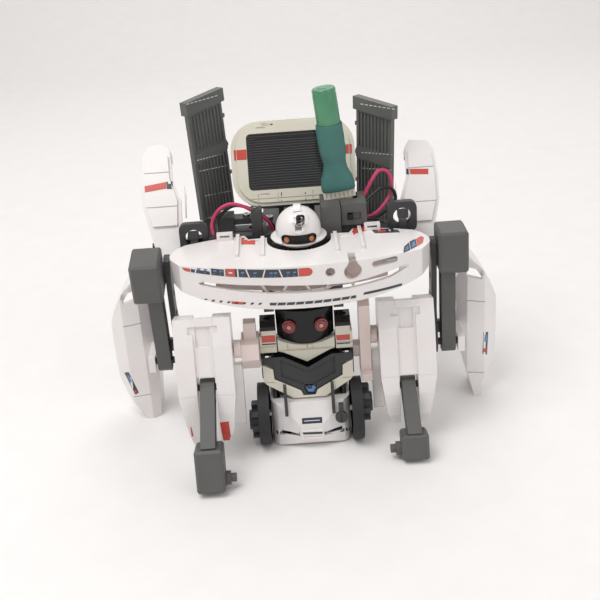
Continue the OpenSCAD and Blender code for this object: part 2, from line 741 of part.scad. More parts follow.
module front_leg(s) {
    half = leg_w / 2;
    knee = s < 0 ? knee_in_leg_left : knee_in_leg_right;
    color("white") place() leg_frame(s) difference() {
        union() {
            intersection() {
                union() {
                    side(4, half) leg_profile();
                    side(-half, -4.4) leg_profile();
                }
                // both prongs taper towards the toe
                front(-12, 8) polygon([[-half, 4], [half, 4], [half + 0.1, -30], [half - 3, -46], [half - 5, -53],
                    [-half + 5, -53], [-half + 2, -46], [-half - 0.1, -30]]);
            }
            box([-4.6, 4.2], [-8, -4.6], [-8, 4]);
            // face plate that hides the knee
            box([-4.6, 4.2], [-8, -6.2], [knee[1] + 5.6, -7]);
            box([-4.4, 4], [2, 4.4], [-8, 2]);
            // inner guard blade behind the prong
            side(-half - 3, -half + 1.6) polygon([[1, -19], [7, -19], [11, -24], [9, -36], [5, -47], [3.6, -46],
                [3, -30], [1, -24]]);
        }
        // T-shaped recess in the face
        box([-6.6, 6], [-10, -7.4], [-2.6, 0.6]);
        box([-3.2, 3], [-10, -6.8], [-8.4, 0.6]);
        // panel line round the prongs
        box([-half - 1, half + 1], [-9.6, -8.6], [-30.2, -29.8]);
        across(-half - 4, -4, hip_in_leg, hip_pin_r + bore_play);
        across(-8.6, 8.2, knee, knee_pin_r + bore_play);
    }
}

module front_leg_left() front_leg(-1);
module front_leg_right() front_leg(1);

// Chamfered block on the end of a strut
module block(w, d, z0, z1, c) {
    intersection() {
        plan(z0, z1) polygon(rounded(w, d, c, 1));
        side(-w, w) translate([0, (z0 + z1) / 2]) polygon(rounded(d, z1 - z0, c, 1));
        front(-d, d) translate([0, (z0 + z1) / 2]) polygon(rounded(w, z1 - z0, c, 1));
    }
}

module strut(z0, z1) {
    difference() {
        side(-3.1, 3.1) polygon([[-4, z1], [4, z1], [4.4, z1 + 3], [3.4, z0 - 2.4], [1.6, z0], [-2.4, z0], [-4, z0 - 2]]);
        // sunken sides
        for (s = [-1, 1]) on_side(s) side(2.2, 4) polygon([[-2, z1 + 3], [2.2, z1 + 3], [2, z0 - 12], [-2, z0 - 12]]);
    }
}

// Foot blocks: width, depth, height, and how far their front edge stands forward
foot_block_left = [12, 13, 19];
foot_block_right = [11.8, 11, 11.6];
foot_front_left = -92;
foot_front_right = -77.4;
foot_chamfer = 1.1;

// Middle of a block's top face, as [y, z], when its lower edge rests on the floor
function block_top(size, front_y, lean) = let (rise = (size[1] / 2 - foot_chamfer) * sin(lean))
    [front_y + size[1] / 2 * cos(lean) + size[2] * sin(lean), rise + size[2] * cos(lean)];

module foot_strut(s) {
    knee = s < 0 ? knee_left : knee_right;
    lean = s < 0 ? foot_lean_left : foot_lean_right;
    size = s < 0 ? foot_block_left : foot_block_right;
    top = block_top(size, s < 0 ? foot_front_left : foot_front_right, lean);
    along = unit(top - knee);
    out = [-along[1], along[0]];
    color("dimgray") place() on_side(s) translate([leg_x - 0.2, 0, 0]) {
        translate([0, top[0], top[1]]) rotate([-lean, 0, 0]) {
            block(size[0], size[1], -size[2], 0, foot_chamfer);
            // socket peg low on the inner side
            across(-size[0] / 2 - 2.2, -4, [0, 4.4 - size[2]], 3);
            across(-size[0] / 2 - 4.6, -5, [0, 4.4 - size[2]], 1.9);
        }
        difference() {
            side(-3.1, 3.1) {
                polygon([knee + 3.6 * out, top + 3.9 * out + 3 * along, top - 3.9 * out + 3 * along,
                    knee - 3.6 * out]);
                translate(knee) circle(r = 4, $fn = medium);
            }
            for (e = [-1, 1]) on_side(e) side(2.3, 4) polygon([knee + 2 * out + 6 * along, top + 2 * out,
                top - 2 * out, knee - 2 * out + 6 * along]);
        }
        across(-7.6, 7.6, knee, knee_pin_r);
    }
}

module foot_strut_left() foot_strut(-1);
module foot_strut_right() foot_strut(1);

module hip_bracket(s) {
    at = s < 0 ? hip_left : hip_right;
    color("mistyrose") place() on_side(s) {
        if (s < 0) {
            side(20.7, 28.4) polygon([[-54, 44], [-52, 50.6], [-40, 51], [-38, 49], [-38, 38], [-50, 38]]);
            side(21.6, 27) polygon([[-47, 50], [-46, 58], [-41, 58], [-40, 50]]);
        } else {
            side(23.6, 28.4) polygon([[-46, 30], [-45, 62], [-42, 64], [-36, 64], [-36, 30]]);
            box([23.6, 28.4], [-50, -36], [27.8, 30.8]);
            box([20.7, 24], [-42, -36], [36, 41.4]);
        }
        across(28.4, 31.4, at, 4);
        across(31.4, 38.6, at, hip_pin_r);
    }
}

module hip_bracket_left() hip_bracket(-1);
module hip_bracket_right() hip_bracket(1);

// ---------- raised rear arms ----------
module upper_arm(s) {
    at = s < 0 ? arm_left : arm_right;
    color("white") place() on_side(s) translate([s < 0 ? arm_left_x : arm_right_x, at[0], at[1]]) rotate([-arm_lean, 0, 0]) difference() {
        union() {
            front(-3, 5) polygon([[-5, -6], [1, -7], [5, -4], [8, 8], [10.5, 18], [11, 30], [10, 42], [7, 46.5],
                [-1, 47], [-3, 44], [-3.6, 30], [-7, 20], [-7, 8]]);
            // inner web that tapers upwards
            front(3, 5) polygon([[-4, 8], [-8.4, 14], [-8.8, 24], [-6.6, 38], [-2, 24]]);
            // raised face panel
            front(-4.2, -3) polygon([[-5, 8], [6, 8], [9, 18], [9.4, 30], [8.6, 40], [-2, 41], [-2.4, 30], [-5.4, 20]]);
        }
        front(-4.6, -3.6) polygon([[-6, 16.8], [12, 16.8], [12, 17.2], [-6, 17.2]]);
        front(-4.6, -3.6) polygon([[-6, 33], [12, 33], [12, 33.4], [-6, 33.4]]);
        box([-8, 12], [-1, 6], [10, 40]);
        across(-10, 10, [0, 0], hip_pin_r + bore_play);
    }
}

module upper_arm_left() upper_arm(-1);
module upper_arm_right() upper_arm(1);

// ---------- rear legs ----------
module rear_link(s) {
    color("dimgray") place() on_side(s) {
        difference() {
            side(57, 59.4) polygon([[-34.6, 84.6], [-33, 86], [-29, 86], [-27.4, 84], [-26.4, 60], [-18, 42], [-18, 33],
                [-20, 31.6], [-35, 31.6], [-37, 34], [-37, 39], [-33.4, 52], [-34.4, 70]]);
            across(50, 62, link_top, hip_pin_r + bore_play);
            side(50, 62) for (z = [48, 58, 68]) translate([-30, z]) circle(r = 1.7, $fn = medium);
        }
        across(59.4, 68.4, link_low, hip_pin_r);
        // arm behind the hammer that carries the shell
        box([59.4, 68.4], [-20.4, -18], [34, 40]);
    }
}

module rear_link_left() rear_link(-1);
module rear_link_right() rear_link(1);

module shell_outline(s) {
    toe = s < 0 ? 0 : 7;
    polygon(concat([[71.5 + toe, 0], [77.5 + 0.6 * toe, 0]], arc(40.6, 36, 50.4, -36, 46, 14),
        [[73, 77], [72.4, 67], [69.6, 59], [70.6, 46], [69.6, 36], [70 + 0.5 * toe, 20]]));
}

module shell_hollow_outline(s) {
    toe = s < 0 ? 0 : 5;
    polygon(concat([[73.6 + toe, 4], [76.6 + 0.5 * toe, 4]], arc(40.6, 36, 48.2, -34, 36, 10),
        [[74.6, 66], [71.8, 59], [72.6, 46], [71.8, 36], [72.2 + 0.8 * toe, 20]]));
}

module shell_plan() {
    polygon([[68, shell_y + 18], [69, shell_y + 4], [75, shell_y], [83, shell_y], [89, shell_y + 5], [91.4, shell_y + 14],
        [91.4, shell_y + 18]]);
}

module shell_hollow_plan() {
    polygon([[60, shell_y + 19], [60, shell_y + 5], [74, shell_y + 2.2], [82.4, shell_y + 2.2], [87.2, shell_y + 6.4],
        [89.2, shell_y + 14.4], [89.2, shell_y + 19]]);
}

module rear_shell(s) {
    color("white") place() on_side(s) difference() {
        union() {
            intersection() {
                front(shell_y - 1, shell_y + 18) shell_outline(s);
                plan(-1, 80) shell_plan();
            }
            // bracket that closes over the hammer's pin
            box([68.4, 71.4], [-37.4, shell_y + 4], [32.4, 39.6]);
        }
        intersection() {
            front(shell_y - 2, shell_y + 20) shell_hollow_outline(s);
            plan(3, 70) shell_hollow_plan();
        }
        // seams, and the port near the top
        front(shell_y - 2, shell_y + 0.6) polygon([[74, 50.6], [92, 47.6], [92, 48], [74, 51]]);
        front(shell_y - 2, shell_y + 0.6) polygon([[74, 13], [92, 11], [92, 11.4], [74, 13.4]]);
        front(shell_y - 2, shell_y + 3.6) polygon([[74.4, 63], [81.6, 60.6], [83, 65.4], [76, 69.6]]);
    }
}

module rear_shell_left() rear_shell(-1);
module rear_shell_right() rear_shell(1);

module side_hammer(s) {
    lean = s < 0 ? -8 : 2;
    color("dimgray") place() on_side(s) translate([64.3, link_low[0], link_low[1]]) rotate([-lean, 0, 0])
        mirror([0, 0, 1]) difference() {
            union() {
                translate([1.9, 0, 0]) block(12.8, 17.4, -54.6, -36, 1);
                strut(4, -37);
            }
            across(-8, 8, [0, 0], hip_pin_r + bore_play);
        }
}

module side_hammer_left() side_hammer(-1);
module side_hammer_right() side_hammer(1);

// ---------- fasteners ----------
module screw_head(r, h) {
    difference() {
        cylinder(h = h, r = r, $fn = medium);
        translate([-r * 0.7, -0.25, h - 0.4]) cube([r * 1.4, 0.5, 1]);
        translate([-0.25, -r * 0.7, h - 0.4]) cube([0.5, r * 1.4, 1]);
    }
}

module fasteners() {
    color("silver") place() {
        // deck frame to rear bar, and frame to bracket lugs
        for (x = [-13, 13]) for (y = [-2, 7]) translate([x, y, 86]) screw_head(1.8, 1.2);
        translate([-24, 15.5, 85]) screw_head(1.8, 1.2);
        translate([26, 15.5, 79]) screw_head(1.8, 1.2);
    }
}

// ---------- wires ----------
function spline(p0, p1, p2, p3, t) = 0.5 * (2 * p1 + (p2 - p0) * t + (2 * p0 - 5 * p1 + 4 * p2 - p3) * t * t
    + (3 * p1 - p0 - 3 * p2 + p3) * t * t * t);

function smooth(route, steps) = let (n = len(route) - 1)
    concat([for (i = [0:n - 1]) for (k = [0:steps - 1])
        spline(route[max(i - 1, 0)], route[i], route[i + 1], route[min(i + 2, n)], k / steps)], [route[n]]);

function unit(v) = v / norm(v);

module tube(route, r) {
    line = smooth(route, 4);
    n = len(line) - 1;
    k = 8;
    rings = [for (i = [0:n]) let (d = unit(line[min(i + 1, n)] - line[max(i - 1, 0)]),
            u = unit(cross(d, [0.13, 0.98, 0.15])), v = cross(d, u))
        for (j = [0:k - 1]) line[i] + r * (cos(360 * j / k) * u + sin(360 * j / k) * v)];
    polyhedron(points = rings, faces = concat([[for (j = [0:k - 1]) j]], [[for (j = [k - 1:-1:0]) n * k + j]],
        [for (i = [0:n - 1]) for (j = [0:k - 1]) [i * k + j, (i + 1) * k + j, (i + 1) * k + (j + 1) % k,
            i * k + (j + 1) % k]]), convexity = 6);
}

module wire_red_left() color("crimson") place() tube(route_red_left, wire_d / 2);
module wire_black_left() color("black") place() tube(route_black_left, wire_d / 2);
module wire_red_right() color("crimson") place() tube(route_red_right, wire_d / 2);
module wire_black_right() color("black") place() tube(route_black_right, wire_d / 2);

nose_shell();
armor_plate();
v_panel();
chin_plate();
visor();
eye_lenses();
shoulder_columns();
shoulder_caps();
nose_bars();
nose_dial();
gearbox_frame();
rear_cover();
motor();
motor_pinion();
idler_gear();
axle_gear();
axle();
wheel_left();
wheel_right();
crank_left();
crank_right();
neck_post();
hull_shell();
hull_ribs();
deck_frame();
end_clip_left();
end_clip_right();
helmet();
helmet_visor();
helmet_eyes();
solar_mount();
solar_back();
solar_bezel();
solar_cell();
wing_left();
wing_right();
battery_socket();
switch_slider();
battery_plug();
battery_sleeve();
battery_cell();
hip_bracket_left();
hip_bracket_right();
front_leg_left();
front_leg_right();
foot_strut_left();
foot_strut_right();
upper_arm_left();
upper_arm_right();
rear_link_left();
rear_link_right();
rear_shell_left();
rear_shell_right();
side_hammer_left();
side_hammer_right();
fasteners();
wire_red_left();
wire_black_left();
wire_red_right();
wire_black_right();
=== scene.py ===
import json
import math

import bmesh
import bpy
from mathutils import Matrix, Vector
from mathutils.bvhtree import BVHTree


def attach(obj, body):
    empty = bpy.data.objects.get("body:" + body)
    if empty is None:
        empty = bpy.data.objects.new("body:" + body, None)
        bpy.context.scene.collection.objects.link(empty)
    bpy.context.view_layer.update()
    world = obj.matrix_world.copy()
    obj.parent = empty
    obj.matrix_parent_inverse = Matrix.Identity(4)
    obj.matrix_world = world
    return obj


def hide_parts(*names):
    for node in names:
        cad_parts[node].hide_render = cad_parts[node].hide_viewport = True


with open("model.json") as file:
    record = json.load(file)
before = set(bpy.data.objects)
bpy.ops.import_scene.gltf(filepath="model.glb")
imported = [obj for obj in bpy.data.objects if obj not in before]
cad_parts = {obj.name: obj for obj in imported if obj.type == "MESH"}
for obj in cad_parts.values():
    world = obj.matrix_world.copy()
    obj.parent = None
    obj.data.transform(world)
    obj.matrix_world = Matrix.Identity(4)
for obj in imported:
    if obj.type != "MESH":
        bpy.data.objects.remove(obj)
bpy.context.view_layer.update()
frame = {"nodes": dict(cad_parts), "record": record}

MM = 0.001
SHIFT_Y = 33.104          # the row frame's Y of the build frame's origin, in millimetres
WIRE_THICK = 0.0016       # metres across
FILM_LIFT = 0.00009       # metres that each layer of a film stands above the one below
FILM_STEP_LIMIT = 0.0045  # metres of depth one small face of a film may cross before it is left out
NODES = frame["nodes"]
NODE_BODY = {n: b for b, names in frame["record"]["behaviour"]["bodies"].items() for n in names}
scene = bpy.context.scene


def at(x, y, z):
    """A point given in the CAD source's own millimetres, in the row frame in metres."""
    return Vector((x, y + SHIFT_Y, z)) * MM


# ---------- camera ----------
EYE = at(-1.4, -448.6, 255.2)
AIM = at(-1.4, 0, 46)
LENS = 61.92              # millimetres, on a 36 mm sensor
ROLL = -4                 # degrees


def make_camera():
    data = bpy.data.cameras.new("view")
    data.sensor_fit = "HORIZONTAL"
    data.sensor_width = 36
    data.lens = LENS
    data.clip_start, data.clip_end = 0.01, 20
    cam = bpy.data.objects.new("view", data)
    scene.collection.objects.link(cam)
    turn = (AIM - EYE).to_track_quat("-Z", "Y").to_matrix().to_4x4()
    cam.matrix_world = Matrix.Translation(EYE) @ turn @ Matrix.Rotation(math.radians(ROLL), 4, "Z")
    scene.camera = cam


make_camera()


# ---------- materials ----------
def nodes_of(name):
    """A new material, its node tree and its main shader."""
    m = bpy.data.materials.new(name)
    m.use_nodes = True
    t = m.node_tree
    return m, t, t.nodes["Principled BSDF"]


def put(t, kind, **sockets):
    """A new shader node, with its inputs or settings filled in by name."""
    n = t.nodes.new(kind)
    for k, v in sockets.items():
        if k in n.inputs:
            n.inputs[k].default_value = v
        else:
            setattr(n, k, v)
    return n


def link(t, a, out, b, into):
    t.links.new(a.outputs[out], b.inputs[into])


def plastic(name, colour, rough=0.4, vary=0.04, tint=None, bump=0.12, grain=1400, coat=0.0, metal=0.0,
            edge=0.0003, streak=None, sub=0.0, spec=0.5):
    """Moulded plastic: two scales of colour change, fine texture, soft moulded edges, uneven gloss."""
    m, t, p = nodes_of(name)
    co = put(t, "ShaderNodeTexCoord")
    broad = put(t, "ShaderNodeTexNoise", Scale=55.0, Detail=3.0, Roughness=0.55)
    fine = put(t, "ShaderNodeTexNoise", Scale=float(grain), Detail=2.0, Roughness=0.5)
    where = co
    out = "Object"
    if streak:
        where = put(t, "ShaderNodeMapping")
        where.inputs["Scale"].default_value = streak
        link(t, co, "Object", where, "Vector")
        out = "Vector"
    link(t, co, "Object", broad, "Vector")
    link(t, where, out, fine, "Vector")
    low = tuple(c * (1 - vary) for c in colour)
    high = tuple(min(1, c * (1 + vary)) for c in colour)
    if tint:
        low = tuple((a + b) / 2 for a, b in zip(low, tint))
    ramp = put(t, "ShaderNodeValToRGB")
    ramp.color_ramp.elements[0].position, ramp.color_ramp.elements[0].color = 0.3, (*low, 1)
    ramp.color_ramp.elements[1].position, ramp.color_ramp.elements[1].color = 0.7, (*high, 1)
    link(t, broad, "Fac", ramp, "Fac")
    speck = put(t, "ShaderNodeMix", data_type="RGBA", blend_type="MULTIPLY")
    speck.inputs["Factor"].default_value = 0.10
    link(t, ramp, "Color", speck, "A")
    link(t, fine, "Color", speck, "B")
    link(t, speck, "Result", p, "Base Color")
    rr = put(t, "ShaderNodeMapRange")
    rr.inputs["To Min"].default_value, rr.inputs["To Max"].default_value = rough * 0.85, rough * 1.18
    link(t, broad, "Fac", rr, "Value")
    link(t, rr, "Result", p, "Roughness")
    round_edge = put(t, "ShaderNodeBevel", samples=4)
    round_edge.inputs["Radius"].default_value = edge
    b = put(t, "ShaderNodeBump")
    b.inputs["Strength"].default_value = bump
    b.inputs["Distance"].default_value = 0.00004
    link(t, fine, "Fac", b, "Height")
    link(t, round_edge, "Normal", b, "Normal")
    link(t, b, "Normal", p, "Normal")
    p.inputs["Metallic"].default_value = metal
    p.inputs["Specular IOR Level"].default_value = spec
    p.inputs["Coat Weight"].default_value = coat
    p.inputs["Coat Roughness"].default_value = 0.12
    if sub:
        p.inputs["Subsurface Weight"].default_value = sub
        p.inputs["Subsurface Scale"].default_value = 0.002
        p.inputs["Subsurface Radius"].default_value = (1.0, 0.6, 0.5)
    return m


def cell_face(name):
    """Black photovoltaic film under clear plastic, with its fine cross lines."""
    m, t, p = nodes_of(name)
    co = put(t, "ShaderNodeTexCoord")
    lines = put(t, "ShaderNodeTexWave", wave_type="BANDS", bands_direction="Z", Scale=300.0, Distortion=0.0)
    haze = put(t, "ShaderNodeTexNoise", Scale=35.0, Detail=3.0)
    ramp = put(t, "ShaderNodeValToRGB")
    ramp.color_ramp.elements[0].position, ramp.color_ramp.elements[0].color = 0.78, (0.006, 0.007, 0.008, 1)
    ramp.color_ramp.elements[1].position, ramp.color_ramp.elements[1].color = 0.97, (0.050, 0.052, 0.054, 1)
    soft = put(t, "ShaderNodeMix", data_type="RGBA", blend_type="ADD")
    soft.inputs["Factor"].default_value = 0.02
    gloss = put(t, "ShaderNodeMapRange")
    gloss.inputs["To Min"].default_value, gloss.inputs["To Max"].default_value = 0.08, 0.16
    for texture in (lines, haze):
        link(t, co, "Object", texture, "Vector")
    link(t, lines, "Fac", ramp, "Fac")
    link(t, ramp, "Color", soft, "A")
    link(t, haze, "Color", soft, "B")
    link(t, soft, "Result", p, "Base Color")
    link(t, haze, "Fac", gloss, "Value")
    link(t, gloss, "Result", p, "Roughness")
    p.inputs["Specular IOR Level"].default_value = 0.4
    p.inputs["Coat Weight"].default_value = 0.35
    p.inputs["Coat Roughness"].default_value = 0.05
    return m


MATS = {
    "white": plastic("white_plastic", (0.88, 0.855, 0.845), 0.34, 0.02, (0.88, 0.81, 0.79), coat=0.25,
                     sub=0.12),
    # pink_white_plastic is a darker, pinker copy of the white plastic: painted shade for white parts that
    # stand in shadow.
    "pink": plastic("pink_white_plastic", (0.84, 0.72, 0.68), 0.4, 0.04, (0.84, 0.68, 0.63), coat=0.15,
                    sub=0.15),
    "cream": plastic("cream_plastic", (0.74, 0.71, 0.60), 0.4, 0.03, (0.74, 0.69, 0.56), coat=0.15),
    "dark": plastic("dark_plastic", (0.045, 0.046, 0.048), 0.42, 0.12, bump=0.3, grain=2200),
    "grey": plastic("grey_plastic", (0.105, 0.105, 0.10), 0.5, 0.1, bump=0.45, grain=2000),
    "panel": plastic("panel_plastic", (0.125, 0.128, 0.122), 0.45, 0.12, bump=0.35, grain=1800),
    "black": plastic("black_plastic", (0.007, 0.007, 0.008), 0.24, 0.2, bump=0.05, coat=0.12, spec=0.3),
    "rubber": plastic("wheel_rubber", (0.018, 0.018, 0.019), 0.6, 0.2, bump=0.5, grain=1600),
    "red": plastic("red_lens", (0.42, 0.035, 0.04), 0.2, 0.1, bump=0.04, coat=0.5),
    "steel": plastic("steel", (0.55, 0.55, 0.56), 0.3, 0.08, metal=1.0, streak=(0.05, 1, 1)),
    "brass": plastic("brass", (0.62, 0.44, 0.18), 0.3, 0.08, metal=1.0),
    "nylon": plastic("nylon", (0.75, 0.74, 0.68), 0.45, 0.03, sub=0.2),
    "glass": cell_face("solar_glass"),
    "green": plastic("green_wrap", (0.07, 0.27, 0.14), 0.32, 0.12, bump=0.15, coat=0.4),
    "teal": plastic("teal_wrap", (0.055, 0.18, 0.16), 0.5, 0.08, bump=0.4, grain=900),
    "wire_red": plastic("red_wire", (0.62, 0.045, 0.14), 0.35, 0.08, bump=0.2),
    "wire_black": plastic("black_wire", (0.012, 0.012, 0.013), 0.35, 0.1, bump=0.2),
    "ink_dark": plastic("film_dark", (0.035, 0.040, 0.050), 0.3, 0.15, bump=0.05, coat=0.3),
    "ink_navy": plastic("film_navy", (0.030, 0.042, 0.085), 0.3, 0.15, bump=0.05, coat=0.3),
    "ink_red": plastic("film_red", (0.62, 0.075, 0.055), 0.3, 0.06, bump=0.05, coat=0.3),
    "ink_white": plastic("film_white", (0.82, 0.81, 0.79), 0.3, 0.02, bump=0.05, coat=0.3),
    "ink_pink": plastic("film_pink", (0.80, 0.36, 0.36), 0.3, 0.05, bump=0.05, coat=0.3),
    "ink_blue": plastic("film_blue", (0.10, 0.24, 0.50), 0.3, 0.1, bump=0.05, coat=0.3),
    "copper": plastic("copper_eye", (0.55, 0.19, 0.07), 0.25, 0.15, coat=0.5),
}

SLOT_MAT = {
    # the pink_white_plastic slot takes the painted-shade copy of the white plastic.
    "white_plastic": "white", "pink_white_plastic": "pink", "cream_plastic": "cream", "dark_plastic": "dark",
    "grey_plastic": "grey", "black_plastic": "black", "red_lens": "red", "steel": "steel", "brass": "brass",
    "nylon": "nylon", "solar_glass": "glass", "green_wrap": "green", "teal_wrap": "teal",
    "red_wire": "wire_red", "black_wire": "wire_black", "copper_eye": "copper",
}
NODE_MAT = {"wheel_left": "rubber", "wheel_right": "rubber", "wing_left": "panel", "wing_right": "panel",
            "battery_socket": "grey", "v_panel": "dark"}

for part in frame["record"]["subparts"]:
    obj = NODES[part["node"]]
    key = NODE_MAT.get(part["node"], SLOT_MAT[part["material_slot"]])
    obj.data.materials.clear()
    obj.data.materials.append(MATS[key])


# ---------- wires ----------
def spline(route, steps=8):
    """A smooth curve through the route's points."""
    r = [Vector(p) for p in route]
    n = len(r) - 1
    line = []
    for i in range(n):
        p0, p1, p2, p3 = r[max(i - 1, 0)], r[i], r[i + 1], r[min(i + 2, n)]
        for k in range(steps):
            t = k / steps
            line.append(0.5 * (2 * p1 + (p2 - p0) * t + (2 * p0 - 5 * p1 + 4 * p2 - p3) * t * t
                               + (3 * p1 - p0 - 3 * p2 + p3) * t ** 3))
    return line + [r[n]]


def wire(name, route, mat):
    line = [at(*p) for p in spline(route)]
    data = bpy.data.curves.new(name, "CURVE")
    data.dimensions = "3D"
    data.bevel_depth = WIRE_THICK / 2
    data.bevel_resolution = 4
    data.use_fill_caps = True
    s = data.splines.new("POLY")
    s.points.add(len(line) - 1)
    for p, q in zip(s.points, line):
        p.co = (*q, 1)
    obj = bpy.data.objects.new(name, data)
    scene.collection.objects.link(obj)
    data.materials.append(MATS[mat])
    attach(obj, "chassis")
    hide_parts(name.replace("lead", "wire"))


ROUTES = {
    "lead_red_left": [[-38, -17, 88.6], [-38.4, -14, 93], [-35.4, -12.6, 98.4], [-30.4, -12, 101],
                      [-25, -12, 100.2], [-20, -12.4, 97.4], [-15.4, -12, 94], [-12.4, -11.4, 90],
                      [-11.4, -11, 85.6]],
    "lead_black_left": [[-35.6, -17, 88.6], [-36, -12.6, 92.6], [-33, -11, 97], [-28.4, -9.8, 99.4],
                        [-23.4, -9.6, 98.6], [-18.4, -9.2, 95.6], [-14, -8.8, 92], [-11.4, -8.4, 88.6],
                        [-10.4, -8, 85.6]],
    "lead_red_right": [[30, -10, 99], [34, -8.4, 106], [37.6, -6.6, 110], [41.4, -6, 109.4],
                       [43.4, -6.6, 104.6], [42, -8.6, 98.6], [37.6, -12, 94], [33.6, -15, 92.4],
                       [30, -16.6, 92.4]],
    "lead_black_right": [[30, -13, 97.4], [34, -11.4, 100.4], [38.6, -10, 103], [43, -9.8, 102.4],
                         [44.6, -10.4, 98], [42, -11.6, 94.2], [37.6, -14.6, 92.2], [33.6, -17.6, 92],
                         [30, -19.4, 92.4]],
}
for lead, route in ROUTES.items():
    colour = "red" if "red" in lead else "black"
    wire(lead, route, "wire_" + colour)


# ---------- printed films ----------
TREES = {}


def tree_of(node):
    """The CAD node's surface, ready for ray casts."""
    if node not in TREES:
        mesh = NODES[node].data
        TREES[node] = BVHTree.FromPolygons([v.co.copy() for v in mesh.vertices],
                                           [tuple(p.vertices) for p in mesh.polygons])
    return TREES[node]


def cast(nodes, start, ray):
    """Where the ray first meets one of the nodes: the place, the normal facing it, and the distance."""
    best = None
    for node in nodes:
        place, normal, _, gap = tree_of(node).ray_cast(start, ray)
        if place is not None and (best is None or gap < best[2]):
            best = (place, normal if normal.dot(ray) < 0 else -normal, gap)
    return best


def film(name, nodes, shapes, y=None, z=None, down=False, step=1.5, thick=0.00018):
    """Thin film laid on CAD nodes. shapes: (material, layer, outline). An outline is in build millimetres:
    (x, z) seen square from the front, or on the plane at y, or (x, y) on the plane at z or looking down."""
    keys = list(dict.fromkeys(key for key, _, _ in shapes))
    verts, faces, looks = [], [], []
    for key, layer, outline in shapes:
        part = bmesh.new()
        part.faces.new([part.verts.new((u, v, 0)) for u, v in outline])
        for axis in (0, 1):
            low, high = min(p[axis] for p in outline), max(p[axis] for p in outline)
            k = math.floor(low / step) + 1
            while k * step < high - 0.05:
                co, no = [0, 0, 0], [0, 0, 0]
                co[axis], no[axis] = k * step, 1
                bmesh.ops.bisect_plane(part, geom=part.verts[:] + part.edges[:] + part.faces[:],
                                       plane_co=co, plane_no=no, dist=1e-5)
                k += 1
        part.verts.index_update()
        hits = {}
        for v in part.verts:
            if down:
                start, ray = at(v.co.x, v.co.y, 200), Vector((0, 0, -1))
            elif y is None and z is None:
                start, ray = at(v.co.x, -160, v.co.y), Vector((0, 1, 0))
            else:
                goal = at(v.co.x, y, v.co.y) if z is None else at(v.co.x, v.co.y, z)
                start, ray = EYE, (goal - EYE).normalized()
            hit = cast(nodes, start, ray)
            if hit:
                hits[v.index] = (hit, len(verts))
                verts.append(hit[0] + hit[1] * FILM_LIFT * layer)
        for f in part.faces:
            if not all(v.index in hits for v in f.verts):
                continue
            gaps = [hits[v.index][0][2] for v in f.verts]
            if max(gaps) - min(gaps) > FILM_STEP_LIMIT:
                continue
            loop = [hits[v.index][1] for v in f.verts]
            a, b, c = (verts[i] for i in loop[:3])
            if (b - a).cross(c - a).dot(hits[f.verts[0].index][0][1]) < 0:
                loop.reverse()
            faces.append(loop)
            looks.append(keys.index(key))
        part.free()
    mesh = bpy.data.meshes.new(name)
    mesh.from_pydata(verts, [], faces)
    for key in keys:
        mesh.materials.append(MATS[key])
    for f, look in zip(mesh.polygons, looks):
        f.material_index = look
    bm = bmesh.new()
    bm.from_mesh(mesh)
    bmesh.ops.delete(bm, geom=[v for v in bm.verts if not v.link_faces], context="VERTS")
    bm.to_mesh(mesh)
    bm.free()
    obj = bpy.data.objects.new(name, mesh)
    scene.collection.objects.link(obj)
    solid = obj.modifiers.new("thickness", "SOLIDIFY")
    solid.thickness, solid.offset = thick, -1
    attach(obj, NODE_BODY[nodes[0]])
    return obj


def slab(x0, x1, z0, z1, lean=0.0):
    """An outline with four corners, its top moved sideways by lean."""
    return [(x0, z0), (x1, z0), (x1 + lean, z1), (x0 + lean, z1)]


def oval(x, z, rx, rz, first=0, last=360, count=20):
    """An ellipse, or the part of one between two angles in degrees."""
    turn = [math.radians(first + (last - first) * i / count) for i in range(count + (last - first != 360))]
    return [(x + rx * math.cos(a), z + rz * math.sin(a)) for a in turn]


